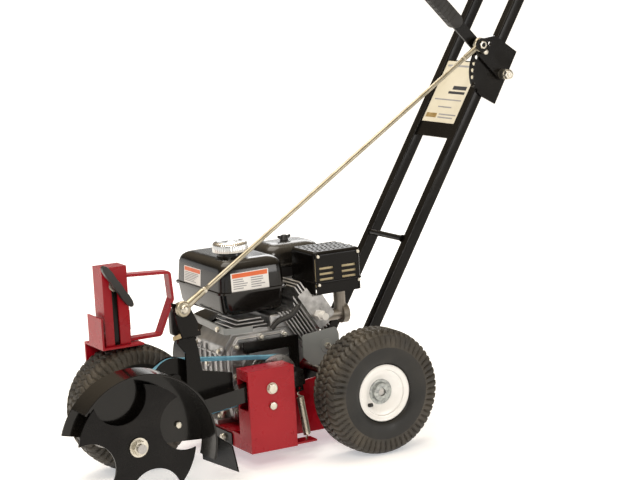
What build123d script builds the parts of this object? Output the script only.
"""Walk-behind lawn edger: a petrol engine drives a star blade on a swinging arm.

All lengths are millimetres.  Positions are measured from the point on the ground
below the rear axle, on the middle plane of the handle and the front wheel:
x grows towards the operator, y towards the starter side, z upwards.
The helpers side(), cross() and level() turn those positions into work planes.
"""
from build123d import *
from math import acos, atan2, cos, degrees, hypot, radians, sin
import os

os.makedirs("parts", exist_ok=True)

# ---------------------------------------------------------------- driving dimensions
AXLE_X = 83.1            # rear axle from the origin, which is the middle of the whole box
MID_Y = 11.6              # middle plane of handle and front wheel from the origin
RUN = 0.05               # radial clearance of a shaft in its bore
GAP = 0.3                # clearance between bodies that pass each other

TYRE_R = 134.5
TYRE_W = 94.0
BEAD_R = 51.0
AXLE_R = 8.0
NEAR_WHEEL_Y = -223.0
FAR_WHEEL_Y = 272.0
FRONT_WHEEL_X = -468.0

DECK_X = (-282.0, 40.0)
DECK_Y = (-102.0, 96.0)
DECK_Z = (36.0, 66.0)
SHEET = 4.0

TOWER_X = (-283.0, -175.0)
TOWER_Y = (-190.0, -138.0)
TOWER_Z = (36.0, 211.0)

PIVOT = (-228.6, 169.0)          # where the blade arm swings
SPINDLE = (-578.6, 126.6)        # blade spindle
ARM_Y = -164.0
ARM_SIZE = 32.0
PIVOT_R = 6.0
ARM_LENGTH = hypot(SPINDLE[0] - PIVOT[0], SPINDLE[1] - PIVOT[1])
ARM_SLOPE = degrees(atan2(PIVOT[1] - SPINDLE[1], PIVOT[0] - SPINDLE[0]))
STOP_BOLT = (-229.0, 132.0)      # rubber stop below the arm
STOP_R = 5.0

BLADE_Y = -288.0
BLADE_R = 125.0
BLADE_T = 4.5
GUARD_R = 152.7
GUARD_Y = (-330.0, -264.5)
SPINDLE_R = 9.5

BELT_Y = -117.0
BELT_W = 13.0
BELT_T = 8.5
BELT_SEAT = 10.5          # how far the belt's inner face lies below a pulley's edge
CRANK = (-180.0, 178.0)
CRANK_R = 9.5
ENGINE_PULLEY_R = 44.0
IDLER = (-420.0, 202.0)
IDLER_R = 50.0
SPINDLE_PULLEY_R = 36.0

ROD_FOOT = (-429.0, 369.0)
ROD_FOOT_Y = -212.0
ROD_HEAD = (366.6, 835.7)
ROD_HEAD_Y = -122.0
ROD_R = 5.0
LEVER_PIVOT = (433.0, 765.0)
LEVER_SLOPE = degrees(atan2(ROD_HEAD[1] - LEVER_PIVOT[1], LEVER_PIVOT[0] - ROD_HEAD[0]))
QUADRANT_Y = (-100.0, -95.0)
LEVER_Y = (-108.3, -102.3)
INDEX_R = 73.5
INDEX_STEP = 12.0

RAIL = 25.4
RAIL_Y = 82.0
RAIL_FOOT = (-23.4, 66.0)
RAIL_SLOPE = 58.79
RAIL_LENGTH = 1075.0

POST_X = (-525.0, -469.0)
POST_Y = (-30.0, 18.0)
POST_Z = (276.0, 440.0)
SLOT_X = -499.0
SLOT_W = 13.5
CLAMP_Z = 402.0


# ---------------------------------------------------------------- work planes and helpers
def side(y):
    """Plane at y with local x along x and local y up; it extrudes towards -y."""
    return Plane(origin=(AXLE_X, MID_Y + y, 0), x_dir=(1, 0, 0), z_dir=(0, -1, 0))


def cross(x):
    """Plane at x with local x along y and local y up; it extrudes towards +x."""
    return Plane(origin=(AXLE_X + x, MID_Y, 0), x_dir=(0, 1, 0), z_dir=(1, 0, 0))


def level(z):
    """Plane at height z; it extrudes upwards."""
    return Plane(origin=(AXLE_X, MID_Y, z), x_dir=(1, 0, 0), z_dir=(0, 0, 1))


def slanted(point, y, slope, lean=1):
    """Plane at a point of the side view, its local x sloping upwards by slope degrees.

    With lean 1 it points along +x and the normal is -y; with lean -1 it points along -x, normal +y.
    """
    angle = radians(slope)
    return Plane(origin=(AXLE_X + point[0], MID_Y + y, point[1]),
                 x_dir=(lean * cos(angle), 0, sin(angle)), z_dir=(0, -lean, 0))


def arm_plane(y):
    """Plane at the arm pivot: local x runs forwards along the arm, local y up, normal +y."""
    return slanted(PIVOT, y, -ARM_SLOPE, lean=-1)


def y_axis(point):
    """Axis along y through a point of the side view."""
    return Axis((AXLE_X + point[0], 0, point[1]), (0, 1, 0))


def block(x, y, z):
    """Plain block between three pairs of limits."""
    with BuildPart() as piece:
        with BuildSketch(level(z[0])):
            with Locations(((x[0] + x[1]) / 2, (y[0] + y[1]) / 2)):
                Rectangle(x[1] - x[0], y[1] - y[0])
        extrude(amount=z[1] - z[0])
    return piece.part


def disc(point, y, radius, bore=0.0):
    """Round disc along y between two limits, with an optional bore."""
    with BuildPart() as piece:
        with BuildSketch(side(y[1])):
            with Locations(point):
                Circle(radius)
                if bore > 0:
                    Circle(bore, mode=Mode.SUBTRACT)
        extrude(amount=y[1] - y[0])
    return piece.part


def hexagon(point, y, across, bore=0.0):
    """Hexagonal head or nut along y between two limits."""
    with BuildPart() as piece:
        with BuildSketch(side(y[1])):
            with Locations(point):
                RegularPolygon(across / 2, 6, major_radius=False)
                if bore > 0:
                    Circle(bore, mode=Mode.SUBTRACT)
        extrude(amount=y[1] - y[0])
    return piece.part


def hex_up(point, z, across):
    """Hexagonal head standing on a level face."""
    with BuildPart() as piece:
        with BuildSketch(level(z[0])):
            with Locations(point):
                RegularPolygon(across / 2, 6, major_radius=False)
        extrude(amount=z[1] - z[0])
    return piece.part


def save(part, name):
    """Label a finished piece and write its STEP file."""
    part.label = name
    export_step(part, "parts/" + name + ".step")


# ================================================================ chassis
with BuildPart() as base_plate:
    with BuildSketch(level(DECK_Z[0])):
        with Locations(((DECK_X[0] + DECK_X[1]) / 2, (DECK_Y[0] + DECK_Y[1]) / 2)):
            Rectangle(DECK_X[1] - DECK_X[0], DECK_Y[1] - DECK_Y[0])
    extrude(amount=DECK_Z[1] - DECK_Z[0])
    with BuildSketch(level(DECK_Z[0])):
        with Locations(((DECK_X[0] + DECK_X[1]) / 2, (DECK_Y[0] + DECK_Y[1]) / 2)):
            Rectangle(DECK_X[1] - DECK_X[0] - 2 * SHEET, DECK_Y[1] - DECK_Y[0] - 2 * SHEET)
    extrude(amount=DECK_Z[1] - DECK_Z[0] - SHEET, mode=Mode.SUBTRACT)
    for bracket_y in (DECK_Y[0], DECK_Y[1] + SHEET):
        with BuildSketch(side(bracket_y)):
            with BuildLine():
                Polyline((-150, 36), (40, 36), (40, 150), (22, 160), (-22, 160), (-150, 146), close=True)
            make_face()
            with Locations((0, TYRE_R)):
                Circle(AXLE_R, mode=Mode.SUBTRACT)
        extrude(amount=SHEET)
save(base_plate.part, "base_plate")

BAR_FRONT = DECK_X[0] - SHEET
with BuildPart() as front_bar:
    with BuildSketch(cross(BAR_FRONT)):
        with Locations(((DECK_Y[0] + DECK_Y[1]) / 2, 50.0)):
            Rectangle(DECK_Y[1] - DECK_Y[0], 26)
    extrude(amount=SHEET)
    fillet(front_bar.edges().filter_by(Axis.X), 3)
save(front_bar.part, "front_bar")

SLOT_TOP = 189.0
SLOT_BOTTOM = 126.0
with BuildPart() as pivot_tower:
    add(block(TOWER_X, TOWER_Y, TOWER_Z))
    add(block((TOWER_X[0] + SHEET, TOWER_X[1]), (TOWER_Y[0] + SHEET, TOWER_Y[1] - SHEET),
              (TOWER_Z[0] + SHEET, TOWER_Z[1] - SHEET)), mode=Mode.SUBTRACT)
    add(block((TOWER_X[0], TOWER_X[0] + SHEET), (ARM_Y - 20, ARM_Y + 20), (SLOT_BOTTOM, SLOT_TOP)),
        mode=Mode.SUBTRACT)
    add(block((TOWER_X[0], TOWER_X[1]), (TOWER_Y[1], DECK_Y[0]), (TOWER_Z[0], TOWER_Z[0] + SHEET)))
    add(block((TOWER_X[0], TOWER_X[0] + SHEET), (TOWER_Y[1], DECK_Y[0]), (TOWER_Z[0], 68)))
    add(block((TOWER_X[1], -124), (-182, -150), (TOWER_Z[0], TOWER_Z[0] + SHEET)))
    for hole, radius in ((PIVOT, PIVOT_R), (STOP_BOLT, STOP_R)):
        add(disc(hole, (TOWER_Y[0] - 1, TOWER_Y[1] + 1), radius), mode=Mode.SUBTRACT)
    with BuildSketch(level(TOWER_Z[0])):
        with Locations((-136, ARM_Y)):
            Circle(4)
    extrude(amount=SHEET, mode=Mode.SUBTRACT)
save(pivot_tower.part, "pivot_tower")

UPRIGHT_X = (-492.0, -448.0)
FRAME_Y = (64.0, 90.0)
with BuildPart() as front_frame:
    add(block((UPRIGHT_X[0], DECK_X[0] - SHEET), FRAME_Y, (80, 106)))
    add(block((DECK_X[0] - 26 - SHEET, DECK_X[0] - SHEET), FRAME_Y, (36, 80)))
    add(block(UPRIGHT_X, FRAME_Y, (106, 336)))
    add(block(UPRIGHT_X, (POST_Y[1], FRAME_Y[0]), (294, 336)))
save(front_frame.part, "front_frame")

with BuildPart() as front_post:
    add(block(POST_X, POST_Y, POST_Z))
    add(block((POST_X[0] + SHEET, POST_X[1] - SHEET), (POST_Y[0] + SHEET, POST_Y[1] - SHEET),
              (POST_Z[0], POST_Z[1] - SHEET)), mode=Mode.SUBTRACT)
    with BuildSketch(side(POST_Y[0] + SHEET)):
        with Locations((SLOT_X, (POST_Z[0] + 412) / 2)):
            Rectangle(SLOT_W, 412 - POST_Z[0])
    extrude(amount=SHEET, mode=Mode.SUBTRACT)
save(front_post.part, "front_post")

HANDLE_W = 25.0
with BuildPart() as lift_handle:
    with BuildSketch(side(-18.5 + HANDLE_W)):
        with BuildLine():
            FilletPolyline((-469, 419), (-364, 413), (-360, 352), (-394, 277), (-469, 277), radius=9)
            Line((-469, 277), (-469, 419))
        make_face()
        with BuildLine():
            FilletPolyline((-469, 413), (-370, 407.3), (-366.2, 353.4), (-398, 283), (-469, 283), radius=4)
            Line((-469, 283), (-469, 413))
        make_face(mode=Mode.SUBTRACT)
    extrude(amount=HANDLE_W)
save(lift_handle.part, "lift_handle")

AXLE_END_NEAR = NEAR_WHEEL_Y - 26.0
AXLE_END_FAR = FAR_WHEEL_Y + 26.0
with BuildPart() as rear_axle:
    add(disc((0, TYRE_R), (AXLE_END_NEAR, AXLE_END_FAR), AXLE_R))
    for collar in ((NEAR_WHEEL_Y + 43.4, NEAR_WHEEL_Y + 53), (FAR_WHEEL_Y - 53, FAR_WHEEL_Y - 43.4)):
        add(disc((0, TYRE_R), collar, 14))
    for nut in ((NEAR_WHEEL_Y - 21, NEAR_WHEEL_Y - 12), (FAR_WHEEL_Y + 12, FAR_WHEEL_Y + 21)):
        add(hexagon((0, TYRE_R), nut, 24))
    for washer in ((NEAR_WHEEL_Y - 12, NEAR_WHEEL_Y - 9.5), (FAR_WHEEL_Y + 9.5, FAR_WHEEL_Y + 12)):
        add(disc((0, TYRE_R), washer, 15))
save(rear_axle.part, "rear_axle")


# ---------------------------------------------------------------- handle
def handle_rail(y):
    """Square tube that leans back from the deck, with a hole for the axle."""
    with BuildPart() as rail:
        with BuildSketch(slanted(RAIL_FOOT, y + RAIL / 2, RAIL_SLOPE)):
            with Locations((RAIL_LENGTH / 2, 0)):
                Rectangle(RAIL_LENGTH, RAIL)
        extrude(amount=RAIL)
        with BuildSketch(slanted(RAIL_FOOT, y + RAIL / 2 - 2, RAIL_SLOPE)):
            with Locations((RAIL_LENGTH / 2 + 16, 0)):
                Rectangle(RAIL_LENGTH - 36, RAIL - 4)
        extrude(amount=RAIL - 4, mode=Mode.SUBTRACT)
        add(block((-80, 40), (y - RAIL, y + RAIL), (0, DECK_Z[1])), mode=Mode.SUBTRACT)
        add(disc((0, TYRE_R), (y - RAIL, y + RAIL), AXLE_R), mode=Mode.SUBTRACT)
    return rail.part


near_rail = handle_rail(-RAIL_Y)
far_rail = handle_rail(RAIL_Y)
save(near_rail, "near_rail")
save(far_rail, "far_rail")


def on_rail(distance, rise=0.0):
    """Point of the side view at a distance up the rail and a rise square to it."""
    angle = radians(RAIL_SLOPE)
    return (RAIL_FOOT[0] + distance * cos(angle) - rise * sin(angle),
            RAIL_FOOT[1] + distance * sin(angle) + rise * cos(angle))


RAIL_INNER = RAIL_Y - RAIL / 2
with BuildPart() as cross_rod:
    add(disc((178, 420), (-RAIL_INNER, RAIL_INNER), 6.5))
save(cross_rod.part, "cross_rod")

PANEL_LOW = 655.0
PANEL_HIGH = 845.0
with BuildPart() as label_panel:
    with BuildSketch(slanted(RAIL_FOOT, RAIL_INNER, RAIL_SLOPE)):
        with Locations(((PANEL_LOW + PANEL_HIGH) / 2, 6)):
            Rectangle(PANEL_HIGH - PANEL_LOW, 3)
    extrude(amount=2 * RAIL_INNER)
save(label_panel.part, "label_panel")

BAR_CENTRE = on_rail(RAIL_LENGTH + 14.0)
BAR_HALF = 232.0
GRIP_LENGTH = 118.0
with BuildPart() as handlebar:
    add(disc(BAR_CENTRE, (-BAR_HALF, BAR_HALF), 14))
    add(disc(BAR_CENTRE, (-BAR_HALF - 1, BAR_HALF + 1), 11.5), mode=Mode.SUBTRACT)
save(handlebar.part, "handlebar")

with BuildPart() as hand_grips:
    for start in (-BAR_HALF - 3, BAR_HALF + 3 - GRIP_LENGTH):
        add(disc(BAR_CENTRE, (start, start + GRIP_LENGTH), 18))
    add(disc(BAR_CENTRE, (-BAR_HALF, BAR_HALF), 14), mode=Mode.SUBTRACT)
save(hand_grips.part, "hand_grips")

with BuildPart() as quadrant_plate:
    with BuildSketch(side(QUADRANT_Y[1])):
        with BuildLine():
            Polyline((448, 834), (480, 811), (416, 699), (379, 720), (356, 748), close=False)
            ThreePointArc((356, 748), (359, 802), (400, 848))
            Polyline((400, 848), (424, 851), (448, 834))
        make_face()
        for step in range(-6, 3):
            hole_angle = radians(LEVER_SLOPE + step * INDEX_STEP)
            with Locations((LEVER_PIVOT[0] - INDEX_R * cos(hole_angle),
                            LEVER_PIVOT[1] + INDEX_R * sin(hole_angle))):
                Circle(4.6, mode=Mode.SUBTRACT)
        with Locations(LEVER_PIVOT):
            Circle(PIVOT_R, mode=Mode.SUBTRACT)
    extrude(amount=QUADRANT_Y[1] - QUADRANT_Y[0])
save(quadrant_plate.part, "quadrant_plate")

ENGINE_BOLTS = ((-262, -10), (-262, 80), (-96, -10), (-96, 80))
with BuildPart() as chassis_bolts:
    add(disc(PIVOT, (TOWER_Y[0] - 8, TOWER_Y[1] + 9), PIVOT_R))
    add(hexagon(PIVOT, (TOWER_Y[0] - 8, TOWER_Y[0]), 19))
    add(hexagon(PIVOT, (TOWER_Y[1], TOWER_Y[1] + 9), 19))
    add(disc(STOP_BOLT, (TOWER_Y[0] - 6, TOWER_Y[1] + 7), STOP_R))
    add(hexagon(STOP_BOLT, (TOWER_Y[0] - 6, TOWER_Y[0]), 16))
    add(hexagon(STOP_BOLT, (TOWER_Y[1], TOWER_Y[1] + 7), 16))
    add(disc(LEVER_PIVOT, (-141, -RAIL_Y - RAIL / 2), PIVOT_R))
    add(disc(LEVER_PIVOT, (-128, LEVER_Y[0] - GAP), 11.5))
    add(hexagon(LEVER_PIVOT, (-138, -128), 20))
    for bolt in ENGINE_BOLTS:
        add(hex_up(bolt, (76, 85), 16))
    for bolt_y in (-65, 45):
        with BuildSketch(cross(BAR_FRONT - 7)):
            with Locations((bolt_y, 48)):
                RegularPolygon(8, 6, major_radius=False)
        extrude(amount=7)
save(chassis_bolts.part, "chassis_bolts")

# ================================================================ engine
with BuildPart() as crankcase:
    with BuildSketch(side(96)):
        with BuildLine():
            Polyline((-246, 72), (-114, 72), (-102, 110), (-100, 160), (-66, 190), (-104, 258), (-176, 268),
                     (-243, 262), (-262, 236), (-262, 110), close=True)
        make_face()
    extrude(amount=96 + 44)
    fillet(crankcase.edges().filter_by(Axis.Y), 9)
    add(block((-280, -80), (-26, 96), (66, 76)))
    add(disc(CRANK, (-46, 98), CRANK_R + 10), mode=Mode.SUBTRACT)
    add(block((-240, -122), (-30, 84), (86, 246)), mode=Mode.SUBTRACT)
save(crankcase.part, "crankcase")

with BuildPart() as crankcase_cover:
    with BuildSketch(side(-44)):
        with BuildLine():
            Polyline((-256, 80), (-104, 80), (-92, 150), (-92, 215), (-118, 258), (-240, 258), (-260, 230),
                     (-260, 112), close=True)
        make_face()
    extrude(amount=14)
    fillet(crankcase_cover.edges().filter_by(Axis.Y), 9)
    add(disc(CRANK, (-66, -58), 52))
    add(disc(CRANK, (-70, -66), 24))
    add(disc(CRANK, (-71, -43), CRANK_R + RUN), mode=Mode.SUBTRACT)
save(crankcase_cover.part, "crankcase_cover")

CYL_SLOPE = 33.0
FIN_PITCH = 7.6
FIN_COUNT = 7
FIN_START = 106.0


def along_cylinder(y):
    """Plane at the crank: local x runs out along the cylinder."""
    return slanted(CRANK, y, CYL_SLOPE)


UNDER_TANK = block((-270, -94), (-60, 210), (295, 430))
UNDER_MUFFLER = block((-45, 120), (-60, 66), (316, 430))
UNDER_CLEANER = block((-100, 70), (60, 90), (340, 430))
OVER_VALVES = block((-90, 120), (-60, 68), (314, 430))
with BuildPart() as cylinder:
    with BuildSketch(along_cylinder(70)):
        with Locations((131, 20)):
            Rectangle(62, 72)
    extrude(amount=108)
    for fin in range(FIN_COUNT):
        with BuildSketch(along_cylinder(80)):
            with Locations((FIN_START + FIN_PITCH * fin, 33)):
                Rectangle(3, 124)
        extrude(amount=130)
    add(crankcase.part, mode=Mode.SUBTRACT)
    add(crankcase_cover.part, mode=Mode.SUBTRACT)
    add(UNDER_TANK, mode=Mode.SUBTRACT)
    add(UNDER_MUFFLER, mode=Mode.SUBTRACT)
save(cylinder.part, "cylinder")

with BuildPart() as cylinder_head:
    with BuildSketch(along_cylinder(76)):
        with Locations((176, 18)):
            Rectangle(28, 96)
    extrude(amount=122)
    for fin in range(3):
        with BuildSketch(along_cylinder(80)):
            with Locations((169 + 8 * fin, 26)):
                Rectangle(3, 124)
        extrude(amount=126)
    add(UNDER_TANK, mode=Mode.SUBTRACT)
    add(UNDER_MUFFLER, mode=Mode.SUBTRACT)
    add(UNDER_CLEANER, mode=Mode.SUBTRACT)

with BuildPart() as valve_cover:
    with BuildSketch(along_cylinder(66)):
        with Locations((203, 10)):
            Rectangle(26, 82)
    extrude(amount=98)
    fillet(valve_cover.edges().filter_by(Axis.Y), 7)
    add(OVER_VALVES, mode=Mode.SUBTRACT)
save(cylinder_head.part + valve_cover.part, "cylinder_head")

PLUG = (CRANK[0] + 178 * cos(radians(CYL_SLOPE)), CRANK[1] + 178 * sin(radians(CYL_SLOPE)))
with BuildPart() as spark_plug:
    add(hexagon(PLUG, (-62, -46), 20))
    add(disc(PLUG, (-78, -60), 8))
save(spark_plug.part, "spark_plug")

TANK_X = (-257.0, -100.0)
TANK_Y = (-38.0, 200.0)
TANK_SEAM = 348.0
with BuildPart() as fuel_tank:
    with BuildSketch(level(TANK_SEAM)):
        with Locations(((TANK_X[0] + TANK_X[1]) / 2, (TANK_Y[0] + TANK_Y[1]) / 2)):
            RectangleRounded(TANK_X[1] - TANK_X[0], TANK_Y[1] - TANK_Y[0], 20)
    extrude(amount=68, taper=4)
    fillet(fuel_tank.edges().group_by(Axis.Z)[-1], 16)
    with BuildSketch(level(TANK_SEAM)):
        with Locations(((TANK_X[0] + TANK_X[1]) / 2, (TANK_Y[0] + TANK_Y[1]) / 2)):
            RectangleRounded(TANK_X[1] - TANK_X[0], TANK_Y[1] - TANK_Y[0], 20)
    extrude(amount=-50, taper=5)
    with BuildSketch(level(TANK_SEAM - 2.5)):
        with Locations(((TANK_X[0] + TANK_X[1]) / 2, (TANK_Y[0] + TANK_Y[1]) / 2)):
            RectangleRounded(TANK_X[1] - TANK_X[0] + 10, TANK_Y[1] - TANK_Y[0] + 10, 24)
    extrude(amount=5)
    with BuildSketch(level(TANK_SEAM + 60)):
        with Locations((-193, 42)):
            Circle(30)
    extrude(amount=14)
    with BuildSketch(level(TANK_SEAM + 74)):
        with Locations((-193, 42)):
            Circle(20)
    extrude(amount=-24, mode=Mode.SUBTRACT)
    add(block((TANK_X[0] + 12, TANK_X[1] - 12), (TANK_Y[0] + 12, TANK_Y[1] - 12), (304, 401)),
        mode=Mode.SUBTRACT)
save(fuel_tank.part, "fuel_tank")

CAP = (-193.0, 42.0)
CAP_Z = (425.0, 450.0)
with BuildPart() as fuel_cap:
    with BuildSketch(level(CAP_Z[0])):
        with Locations(CAP):
            Circle(40)
    extrude(amount=20)
    with BuildSketch(level(CAP_Z[0] + 20)):
        with Locations(CAP):
            Circle(40)
    extrude(amount=CAP_Z[1] - CAP_Z[0] - 20, taper=40)
    with BuildSketch(level(CAP_Z[0])):
        with Locations(CAP):
            Circle(34)
    extrude(amount=8, mode=Mode.SUBTRACT)
    with BuildSketch(level(CAP_Z[0] + 8)):
        with Locations(CAP):
            Circle(19)
    extrude(amount=-20)
save(fuel_cap.part, "fuel_cap")

with BuildPart() as muffler:
    add(block((-30, 68), (-42, 48), (324, 400)))
    fillet(muffler.edges().filter_by(Axis.Y), 14)
    with BuildSketch(level(262)):
        with Locations((44, -8)):
            Circle(13)
    extrude(amount=62)
    with BuildSketch(cross(0)):
        with Locations((-8, 262)):
            Circle(13)
    extrude(amount=44)
    with BuildSketch(cross(44)):
        with Locations((-8, 262)):
            Circle(22)
    extrude(amount=14)
    add(valve_cover.part, mode=Mode.SUBTRACT)
    add(cylinder_head.part, mode=Mode.SUBTRACT)
save(muffler.part, "muffler")

MUFFLER_GUARD_X = (-40.0, 78.0)
MUFFLER_GUARD_Y = (-55.0, 58.0)
with BuildPart() as muffler_guard:
    add(block(MUFFLER_GUARD_X, MUFFLER_GUARD_Y, (320, 414)))
    fillet(muffler_guard.edges().filter_by(Axis.Z), 12)
    fillet(muffler_guard.edges().group_by(Axis.Z)[-1], 9)
    add(block((MUFFLER_GUARD_X[0] + 3, MUFFLER_GUARD_X[1] - 3),
              (MUFFLER_GUARD_Y[0] + 3, MUFFLER_GUARD_Y[1] - 3), (319, 406)), mode=Mode.SUBTRACT)
    for column in (-10, 46):
        for row in range(3):
            add(block((column - 18, column + 18), (MUFFLER_GUARD_Y[0] - 1, MUFFLER_GUARD_Y[0] + 4),
                      (350 + 12 * row, 355 + 12 * row)), mode=Mode.SUBTRACT)
save(muffler_guard.part, "muffler_guard")

with BuildPart() as carburettor:
    add(block((-60, -10), (100, 138), (296, 346)))
    add(disc((-35, 317), (81, 100), 17))
    fillet(carburettor.edges().filter_by(Axis.Y), 4)
save(carburettor.part, "carburettor")

CLEANER = (-16.0, 126.0)
with BuildPart() as air_cleaner_base:
    with BuildSketch(level(346)):
        with Locations(CLEANER):
            RectangleRounded(144, 118, 30)
    extrude(amount=22)
save(air_cleaner_base.part, "air_cleaner_base")

with BuildPart() as air_cleaner_cover:
    with BuildSketch(level(368)):
        with Locations(CLEANER):
            RectangleRounded(150, 124, 32)
    extrude(amount=50, taper=10)
    fillet(air_cleaner_cover.edges().group_by(Axis.Z)[-1], 14)
    with BuildSketch(level(410)):
        with Locations(CLEANER):
            Circle(5)
    extrude(amount=18)
save(air_cleaner_cover.part, "air_cleaner_cover")

NUT_Z = 418.5
with BuildPart() as wing_nut:
    with BuildSketch(level(NUT_Z)):
        with Locations(CLEANER):
            Circle(10)
            Rectangle(34, 6)
            Circle(5 + RUN, mode=Mode.SUBTRACT)
    extrude(amount=12)
save(wing_nut.part, "wing_nut")

SHROUD_R = 97.0
with BuildPart() as blower_housing:
    with BuildSketch(side(196)):
        with Locations(CRANK):
            Circle(SHROUD_R)
        with BuildLine():
            Polyline((-180, 274), (-96, 274), (-30, 236), (-84, 160), (-180, 160), close=True)
        make_face()
    extrude(amount=196 - 101)
    with BuildSketch(side(192)):
        with Locations(CRANK):
            Circle(SHROUD_R - 4)
    extrude(amount=192 - 101, mode=Mode.SUBTRACT)
    with BuildSketch(side(197)):
        with Locations(CRANK):
            Circle(62)
    extrude(amount=6, mode=Mode.SUBTRACT)
save(blower_housing.part, "blower_housing")

with BuildPart() as recoil_cover:
    with BuildSketch(side(222)):
        with Locations(CRANK):
            Circle(72)
    extrude(amount=222 - 196)
    fillet(recoil_cover.edges().group_by(Axis.Y)[-1], 12)
    with BuildSketch(side(218)):
        with Locations(CRANK):
            Circle(66)
    extrude(amount=218 - 196, mode=Mode.SUBTRACT)
    with BuildSketch(side(223)):
        with Locations(CRANK):
            with PolarLocations(46, 10):
                SlotOverall(22, 7)
    extrude(amount=6, mode=Mode.SUBTRACT)
save(recoil_cover.part, "recoil_cover")

with BuildPart() as starter_grip:
    with BuildSketch(side(222)):
        with Locations((-262, 252)):
            SlotOverall(62, 18, rotation=90)
    extrude(amount=18)
    fillet(starter_grip.edges().group_by(Axis.Y)[0], 4)
    fillet(starter_grip.edges().group_by(Axis.Y)[-1], 4)
save(starter_grip.part, "starter_grip")

with BuildPart() as belt_keeper:
    with BuildSketch(side(-71)):
        with BuildLine():
            Polyline((-232, 222), (-232, 246), (-100, 246), (-100, 128), (-122, 128), (-122, 222),
                     close=True)
        make_face()
    extrude(amount=5)
    fillet(belt_keeper.edges().filter_by(Axis.Y), 4)
save(belt_keeper.part, "belt_keeper")

with BuildPart() as side_plate:
    with BuildSketch(side(-58)):
        with BuildLine():
            Polyline((-82, 190), (-82, 238), (2, 246), (8, 230), (8, 190), (-18, 168), (-60, 168),
                     close=True)
        make_face()
    extrude(amount=4)
    fillet(side_plate.edges().filter_by(Axis.Y), 6)
    add(disc((-24, 208), (-65, -62), 15))
save(side_plate.part, "side_plate")

with BuildPart() as throttle_lever:
    with BuildSketch(side(146)):
        with BuildLine():
            Polyline((-84, 300), (-70, 300), (-66, 338), (-88, 338), close=True)
        make_face()
        with Locations((-77, 306)):
            Circle(9)
    extrude(amount=3)
    add(disc((-77, 334), (143, 156), 8))
save(throttle_lever.part, "throttle_lever")

# ---------------------------------------------------------------- crankshaft and drive
with BuildPart() as crankshaft:
    add(disc(CRANK, (BELT_Y - 14, 190), CRANK_R))
    add(disc(CRANK, (108, 132), 84))
    with BuildSketch(side(150)):
        with Locations(CRANK):
            with PolarLocations(68, 16):
                Rectangle(22, 3)
    extrude(amount=18)
save(crankshaft.part, "crankshaft")


def pulley(point, radius, bore, hub_r):
    """V-belt pulley in the belt plane."""
    groove = BELT_W / 2 + 0.4
    half = groove + 2.4
    with BuildPart() as wheel:
        with BuildSketch(Plane(origin=(AXLE_X + point[0], MID_Y + BELT_Y, point[1]),
                               x_dir=(0, 1, 0), z_dir=(1, 0, 0))):
            with BuildLine():
                Polyline((-half, bore), (-half, radius), (-groove, radius), (-groove, radius - 11),
                         (groove, radius - 11), (groove, radius), (half, radius), (half, bore), close=True)
            make_face()
        revolve(axis=y_axis(point))
        add(disc(point, (BELT_Y - half - 6, BELT_Y - half), hub_r, bore=bore))
    return wheel.part


save(pulley(CRANK, ENGINE_PULLEY_R, CRANK_R, 20), "engine_pulley")

# ================================================================ blade arm
ARM_BACK = 84.0
with BuildPart() as blade_arm:
    with BuildSketch(arm_plane(ARM_Y - ARM_SIZE / 2)):
        with Locations(((ARM_LENGTH - 19 - ARM_BACK) / 2, 0)):
            Rectangle(ARM_LENGTH - 19 + ARM_BACK, ARM_SIZE)
    extrude(amount=ARM_SIZE)
    with BuildSketch(arm_plane(ARM_Y - ARM_SIZE / 2 + 3)):
        with Locations(((ARM_LENGTH - 19 - ARM_BACK) / 2, 0)):
            Rectangle(ARM_LENGTH - 25 + ARM_BACK, ARM_SIZE - 6)
    extrude(amount=ARM_SIZE - 6, mode=Mode.SUBTRACT)
    add(disc(PIVOT, (TOWER_Y[0] + SHEET + GAP, TOWER_Y[1] - SHEET - GAP), 11.5))
    add(disc(PIVOT, (TOWER_Y[0], TOWER_Y[1]), PIVOT_R + RUN), mode=Mode.SUBTRACT)
    with BuildSketch(arm_plane(ARM_Y - 2.5)):
        with Locations((-ARM_BACK + 8, -24)):
            Rectangle(16, 18)
        with Locations((-ARM_BACK + 8, -27)):
            Circle(3.5, mode=Mode.SUBTRACT)
    extrude(amount=5)
save(blade_arm.part, "blade_arm")

PLATE_T = 6.0
UPPER_Y = -195.0
LOWER_Y = -142.0
with BuildPart() as bell_crank:
    with BuildSketch(side(LOWER_Y)):
        with BuildLine():
            Polyline((-412, 301), (-380, 299), (-373, 279), (-365, 221), (-297, 206), (-297, 162),
                     (-402, 150), (-400, 262), (-416, 285), close=True)
        make_face()
    extrude(amount=PLATE_T)
    with BuildSketch(side(UPPER_Y)):
        with BuildLine():
            Polyline((-448, 382), (-408, 368), (-393, 335), (-394, 312), (-428, 306), (-438, 336),
                     close=True)
        make_face()
        with Locations(ROD_FOOT):
            Circle(6, mode=Mode.SUBTRACT)
    extrude(amount=PLATE_T)
    with BuildSketch(cross(-424)):
        with BuildLine():
            Polyline((LOWER_Y, 292), (LOWER_Y, 300), (UPPER_Y, 318), (UPPER_Y - PLATE_T, 318),
                     (UPPER_Y - PLATE_T, 308), (LOWER_Y - PLATE_T, 292), close=True)
        make_face()
    extrude(amount=36)
save(bell_crank.part, "bell_crank")

with BuildPart() as spindle_housing:
    add(disc(SPINDLE, (GUARD_Y[1] + 4, ARM_Y + 30), 19, bore=SPINDLE_R + RUN))
save(spindle_housing.part, "spindle_housing")

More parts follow.
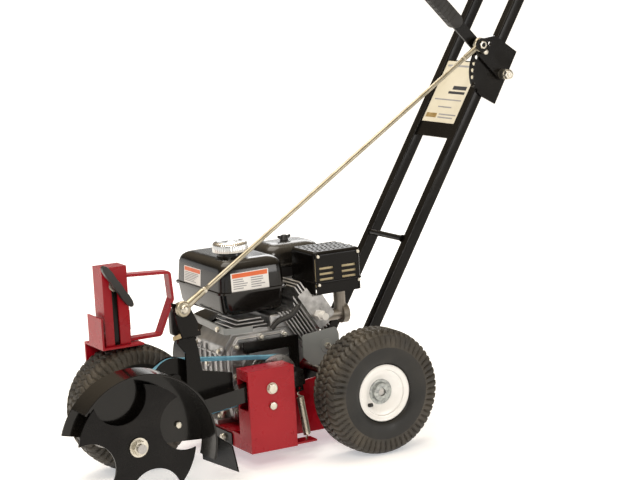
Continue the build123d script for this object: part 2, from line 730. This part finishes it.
BAND_T = 4.0
with BuildPart() as blade_guard:
    with BuildSketch(side(GUARD_Y[1] + BAND_T)):
        with Locations(SPINDLE):
            Circle(GUARD_R)
            Circle(SPINDLE_R + 2, mode=Mode.SUBTRACT)
        with BuildLine():
            Polyline((-760, 178), (-702, 164), (-506, 117), (-380, 108), (-380, -60), (-760, -60),
                     close=True)
        make_face(mode=Mode.SUBTRACT)
    extrude(amount=BAND_T)
    with BuildSketch(side(GUARD_Y[1])):
        with Locations(SPINDLE):
            Circle(GUARD_R)
            Circle(GUARD_R - BAND_T, mode=Mode.SUBTRACT)
        with BuildLine():
            Polyline((-760, 300), (-680, 192), (-600, 120), (-520, 84), (-380, 84), (-380, -60), (-760, -60),
                     close=True)
        make_face(mode=Mode.SUBTRACT)
    extrude(amount=GUARD_Y[1] - GUARD_Y[0])
save(blade_guard.part, "blade_guard")

FLAP_X = -392.0
with BuildPart() as debris_flap:
    with BuildSketch(cross(FLAP_X)):
        with BuildLine():
            Polyline((-180, 150), (-198, 150), (-202, 112), (-322, 102), (-343, 54), (-180, 44), close=True)
        make_face()
    extrude(amount=3)
save(debris_flap.part, "debris_flap")

with BuildPart() as arm_bolts:
    add(disc(IDLER, (LOWER_Y, BELT_Y + 18), 8))
    add(hexagon(IDLER, (BELT_Y + 9.5, BELT_Y + 18), 17))
    add(hexagon((-668, 158), (GUARD_Y[1] - 7, GUARD_Y[1]), 13))
    add(hexagon((-480, 150), (GUARD_Y[1] - 7, GUARD_Y[1]), 13))
    add(disc(ROD_FOOT, (ROD_FOOT_Y - 13, UPPER_Y), 6))
    add(disc(ROD_FOOT, (ROD_FOOT_Y - 13, ROD_FOOT_Y - 6.4), 10))
    add(hexagon(ROD_FOOT, (UPPER_Y, UPPER_Y + 9), 19))
save(arm_bolts.part, "arm_bolts")

save(pulley(IDLER, IDLER_R, 8 + RUN, 16), "idler_pulley")

with BuildPart() as spindle_shaft:
    add(disc(SPINDLE, (BLADE_Y - 22, BELT_Y + 12), SPINDLE_R))
    add(disc(SPINDLE, (BLADE_Y + BLADE_T / 2, BLADE_Y + BLADE_T / 2 + 14), 18))
    add(pulley(SPINDLE, SPINDLE_PULLEY_R, SPINDLE_R, 17))
save(spindle_shaft.part, "spindle_shaft")

BITE_R = 56.0
BITE_OFFSET = 110.0
BITE_TURN = -73.0
with BuildPart() as blade:
    with BuildSketch(side(BLADE_Y + BLADE_T / 2)):
        with Locations(SPINDLE):
            Circle(BLADE_R)
            with PolarLocations(BITE_OFFSET, 4, start_angle=BITE_TURN):
                Circle(BITE_R, mode=Mode.SUBTRACT)
            Circle(SPINDLE_R, mode=Mode.SUBTRACT)
    extrude(amount=BLADE_T)
save(blade.part, "blade")

with BuildPart() as blade_nut:
    add(disc(SPINDLE, (BLADE_Y - BLADE_T / 2 - 3.5, BLADE_Y - BLADE_T / 2), 19.5, bore=SPINDLE_R))
    add(hexagon(SPINDLE, (BLADE_Y - BLADE_T / 2 - 14, BLADE_Y - BLADE_T / 2 - 3.5), 26, bore=SPINDLE_R))
save(blade_nut.part, "blade_nut")


# ---------------------------------------------------------------- belt round three pulleys
def tangent_points(first, first_r, second, second_r):
    """Ends of the outer tangent on the left of the way from the first circle to the second."""
    across = second[0] - first[0]
    up = second[1] - first[1]
    angle = atan2(up, across) + acos((first_r - second_r) / hypot(across, up))
    normal = (cos(angle), sin(angle))
    return ((first[0] + first_r * normal[0], first[1] + first_r * normal[1]),
            (second[0] + second_r * normal[0], second[1] + second_r * normal[1]))


def belt_circles(offset):
    """Circle of the belt round each pulley, in order along the belt."""
    pulleys = ((CRANK, ENGINE_PULLEY_R), (SPINDLE, SPINDLE_PULLEY_R), (IDLER, IDLER_R))
    return [(centre, radius - BELT_SEAT + offset) for centre, radius in pulleys]


def belt_outline(offset):
    """Convex outline of the three pulleys grown by an offset."""
    circles = belt_circles(offset)
    with BuildSketch(side(BELT_Y + BELT_W / 2)) as outline:
        for centre, radius in circles:
            with Locations(centre):
                Circle(radius)
        for index, (centre, radius) in enumerate(circles):
            other, other_r = circles[(index + 1) % 3]
            start, end = tangent_points(centre, radius, other, other_r)
            with BuildLine():
                Polyline(start, end, other, centre, close=True)
            make_face()
        with BuildLine():
            Polyline(*[circle[0] for circle in circles], close=True)
        make_face()
    return outline.sketch


with BuildPart() as drive_belt:
    extrude(belt_outline(BELT_T), amount=BELT_W)
    extrude(belt_outline(0.0), amount=BELT_W, mode=Mode.SUBTRACT)
save(drive_belt.part, "drive_belt")

# ---------------------------------------------------------------- return spring
SPRING_TOP = (-152.0, 145.0)
SPRING_FOOT = (-136.0, 38.0)
with BuildPart() as lift_spring:
    spring_slope = degrees(atan2(SPRING_TOP[1] - SPRING_FOOT[1], SPRING_TOP[0] - SPRING_FOOT[0]))
    spring_length = hypot(SPRING_TOP[0] - SPRING_FOOT[0], SPRING_TOP[1] - SPRING_FOOT[1])
    foot = slanted(SPRING_FOOT, ARM_Y, spring_slope)
    with BuildSketch(Plane(origin=foot.origin + foot.x_dir * 8, x_dir=(0, 1, 0), z_dir=foot.x_dir)):
        Circle(8.5)
        Circle(5.8, mode=Mode.SUBTRACT)
    extrude(amount=spring_length - 16)
    for end in (foot.origin + foot.x_dir * 0.5, foot.origin + foot.x_dir * (spring_length - 9)):
        with BuildSketch(Plane(origin=end, x_dir=(0, 1, 0), z_dir=foot.x_dir)):
            Rectangle(6, 2.6)
        extrude(amount=8.5)
save(lift_spring.part, "lift_spring")

# ================================================================ depth control
ROD_VECTOR = Vector(ROD_HEAD[0] - ROD_FOOT[0], ROD_HEAD_Y - ROD_FOOT_Y, ROD_HEAD[1] - ROD_FOOT[1])
ROD_DIR = ROD_VECTOR.normalized()
ROD_START = Vector(AXLE_X + ROD_FOOT[0], MID_Y + ROD_FOOT_Y, ROD_FOOT[1])
EYE_R = 15.0
EYE_GAP = 11.5
with BuildPart() as control_rod:
    add(disc(ROD_FOOT, (ROD_FOOT_Y - 6, ROD_FOOT_Y + 6), EYE_R + 2))
    add(disc(ROD_HEAD, (ROD_HEAD_Y - 6, ROD_HEAD_Y + 6), EYE_R + 1))
    for start, length, radius in ((10, ROD_VECTOR.length - 20, ROD_R), (12, 62, 8.5),
                                  (ROD_VECTOR.length - 52, 40, 6.5)):
        with BuildSketch(Plane(origin=ROD_START + ROD_DIR * start, x_dir=(0, 1, 0), z_dir=ROD_DIR)):
            Circle(radius)
        extrude(amount=length)
    add(disc(ROD_FOOT, (ROD_FOOT_Y - 20, ROD_FOOT_Y + 20), 6 + RUN), mode=Mode.SUBTRACT)
    add(disc(ROD_HEAD, (ROD_HEAD_Y - 20, ROD_HEAD_Y + 20), EYE_GAP), mode=Mode.SUBTRACT)
save(control_rod.part, "control_rod")

LEVER_LENGTH = 330.0
GRIP_START = 158.0


def lever_plane(y):
    """Plane at the lever pivot, local x up the lever, normal +y."""
    return slanted(LEVER_PIVOT, y, LEVER_SLOPE, lean=-1)


with BuildPart() as depth_lever:
    with BuildSketch(lever_plane(LEVER_Y[0])):
        with Locations((LEVER_LENGTH / 2 - 8, 0)):
            SlotOverall(LEVER_LENGTH + 12, 26)
        Circle(PIVOT_R + RUN, mode=Mode.SUBTRACT)
        with Locations((INDEX_R, 0)):
            Circle(4.0 + RUN, mode=Mode.SUBTRACT)
    extrude(amount=LEVER_Y[1] - LEVER_Y[0])
    add(disc(ROD_HEAD, (-139, LEVER_Y[0]), 5))
    add(disc(ROD_HEAD, (-135, -130.5), 15))
save(depth_lever.part, "depth_lever")

with BuildPart() as lever_grip:
    with BuildSketch(lever_plane(LEVER_Y[0] - 9)):
        with Locations(((GRIP_START + LEVER_LENGTH + 6) / 2, 0)):
            SlotOverall(LEVER_LENGTH + 6 - GRIP_START, 32)
    extrude(amount=24)
    fillet(lever_grip.edges().group_by(Axis.Y)[0], 7)
    fillet(lever_grip.edges().group_by(Axis.Y)[-1], 7)
    with BuildSketch(lever_plane(LEVER_Y[0])):
        with Locations((LEVER_LENGTH / 2 - 8, 0)):
            SlotOverall(LEVER_LENGTH + 12, 26)
    extrude(amount=LEVER_Y[1] - LEVER_Y[0], mode=Mode.SUBTRACT)
save(lever_grip.part, "lever_grip")

INDEX_PIN = (LEVER_PIVOT[0] - INDEX_R * cos(radians(LEVER_SLOPE)),
             LEVER_PIVOT[1] + INDEX_R * sin(radians(LEVER_SLOPE)))
with BuildPart() as index_pin:
    add(disc(INDEX_PIN, (-116, QUADRANT_Y[0] - GAP), 4.0))
    add(disc(INDEX_PIN, (-124, -113.5), 6))
save(index_pin.part, "index_pin")

# ================================================================ front wheel height
INNER = 1.0
FORK_LEG_Y = (52.0, 58.0)
with BuildPart() as front_fork:
    add(block((POST_X[0] + SHEET + INNER, POST_X[1] - SHEET - INNER),
              (POST_Y[0] + SHEET + INNER, POST_Y[1] - SHEET - INNER), (272, 426)))
    add(block((POST_X[0] - 14, -446), (-44, FORK_LEG_Y[1]), (271, 275)))
    add(block((POST_X[0] - 14, POST_X[0] - 10), (-44, 30), (275, 338)))
    with BuildSketch(side(FORK_LEG_Y[1])):
        with BuildLine():
            Polyline((-539, 275), (-446, 275), (-446, 112), (-490, 112), (-539, 220), close=True)
        make_face()
    extrude(amount=FORK_LEG_Y[1] - FORK_LEG_Y[0])
    add(disc((FRONT_WHEEL_X, TYRE_R), (-44, FORK_LEG_Y[1]), AXLE_R))
    add(disc((FRONT_WHEEL_X, TYRE_R), (43.4, FORK_LEG_Y[0]), 14))
    add(hexagon((FRONT_WHEEL_X, TYRE_R), (-40, -31), 24))
    add(disc((SLOT_X, CLAMP_Z), (-50, POST_Y[0] + SHEET + 2), 5))
save(front_fork.part, "front_fork")

with BuildPart() as clamp_knob:
    add(disc((SLOT_X, CLAMP_Z), (-34, -30.5), 13))
    add(disc((SLOT_X, CLAMP_Z), (-50, -34), 10))
    with BuildSketch(slanted((SLOT_X, CLAMP_Z), -40, -57.0)):
        SlotOverall(108, 17)
    extrude(amount=14)
    add(disc((SLOT_X, CLAMP_Z), (-60, -30), 5 + RUN), mode=Mode.SUBTRACT)
save(clamp_knob.part, "clamp_knob")


# ================================================================ wheels
def tyre(x, y):
    """Pneumatic tyre: rounded section open towards the rim."""
    plane = Plane(origin=(AXLE_X + x, MID_Y + y, TYRE_R), x_dir=(0, 1, 0), z_dir=(1, 0, 0))
    half = TYRE_W / 2
    with BuildPart() as ring:
        with BuildSketch(plane):
            with BuildLine():
                ThreePointArc((-34, 130), (0, TYRE_R), (34, 130))
                ThreePointArc((34, 130), (43.5, 123), (half, 106))
                ThreePointArc((half, 106), (half - 0.5, 84), (38, 63))
                Polyline((38, 63), (35.5, 61.5), (35.5, BEAD_R), (28, BEAD_R), (28, 60))
                ThreePointArc((28, 60), (39, 94), (30, 121))
                Line((30, 121), (-30, 121))
                ThreePointArc((-30, 121), (-39, 94), (-28, 60))
                Polyline((-28, 60), (-28, BEAD_R), (-35.5, BEAD_R), (-35.5, 61.5), (-38, 63))
                ThreePointArc((-38, 63), (-half + 0.5, 84), (-half, 106))
                ThreePointArc((-half, 106), (-43.5, 123), (-34, 130))
            make_face()
        revolve(axis=y_axis((x, TYRE_R)))
    return ring.part


def rim(x, y, outward):
    """Pressed steel rim with its hub; outward is the sign of y on the outer side."""
    plane = Plane(origin=(AXLE_X + x, MID_Y + y, TYRE_R), x_dir=(0, outward, 0), z_dir=(outward, 0, 0))
    with BuildPart() as wheel:
        with BuildSketch(plane):
            with Locations((0, 49)):
                Rectangle(79, 4)
            for flange in (-38.5, 38.5):
                with Locations((flange, 54)):
                    Rectangle(5, 14)
            with Locations((-4, 34)):
                Rectangle(4, 30)
            with Locations((-17, (19 + AXLE_R + RUN) / 2)):
                Rectangle(52, 19 - AXLE_R - RUN)
        revolve(axis=y_axis((x, TYRE_R)))
    return wheel.part


WHEELS = {"front": (FRONT_WHEEL_X, 0.0, -1), "near": (0.0, NEAR_WHEEL_Y, -1), "far": (0.0, FAR_WHEEL_Y, 1)}
for wheel_name, (wheel_x, wheel_y, outward) in WHEELS.items():
    save(tyre(wheel_x, wheel_y), wheel_name + "_tyre")
    save(rim(wheel_x, wheel_y, outward), wheel_name + "_rim")
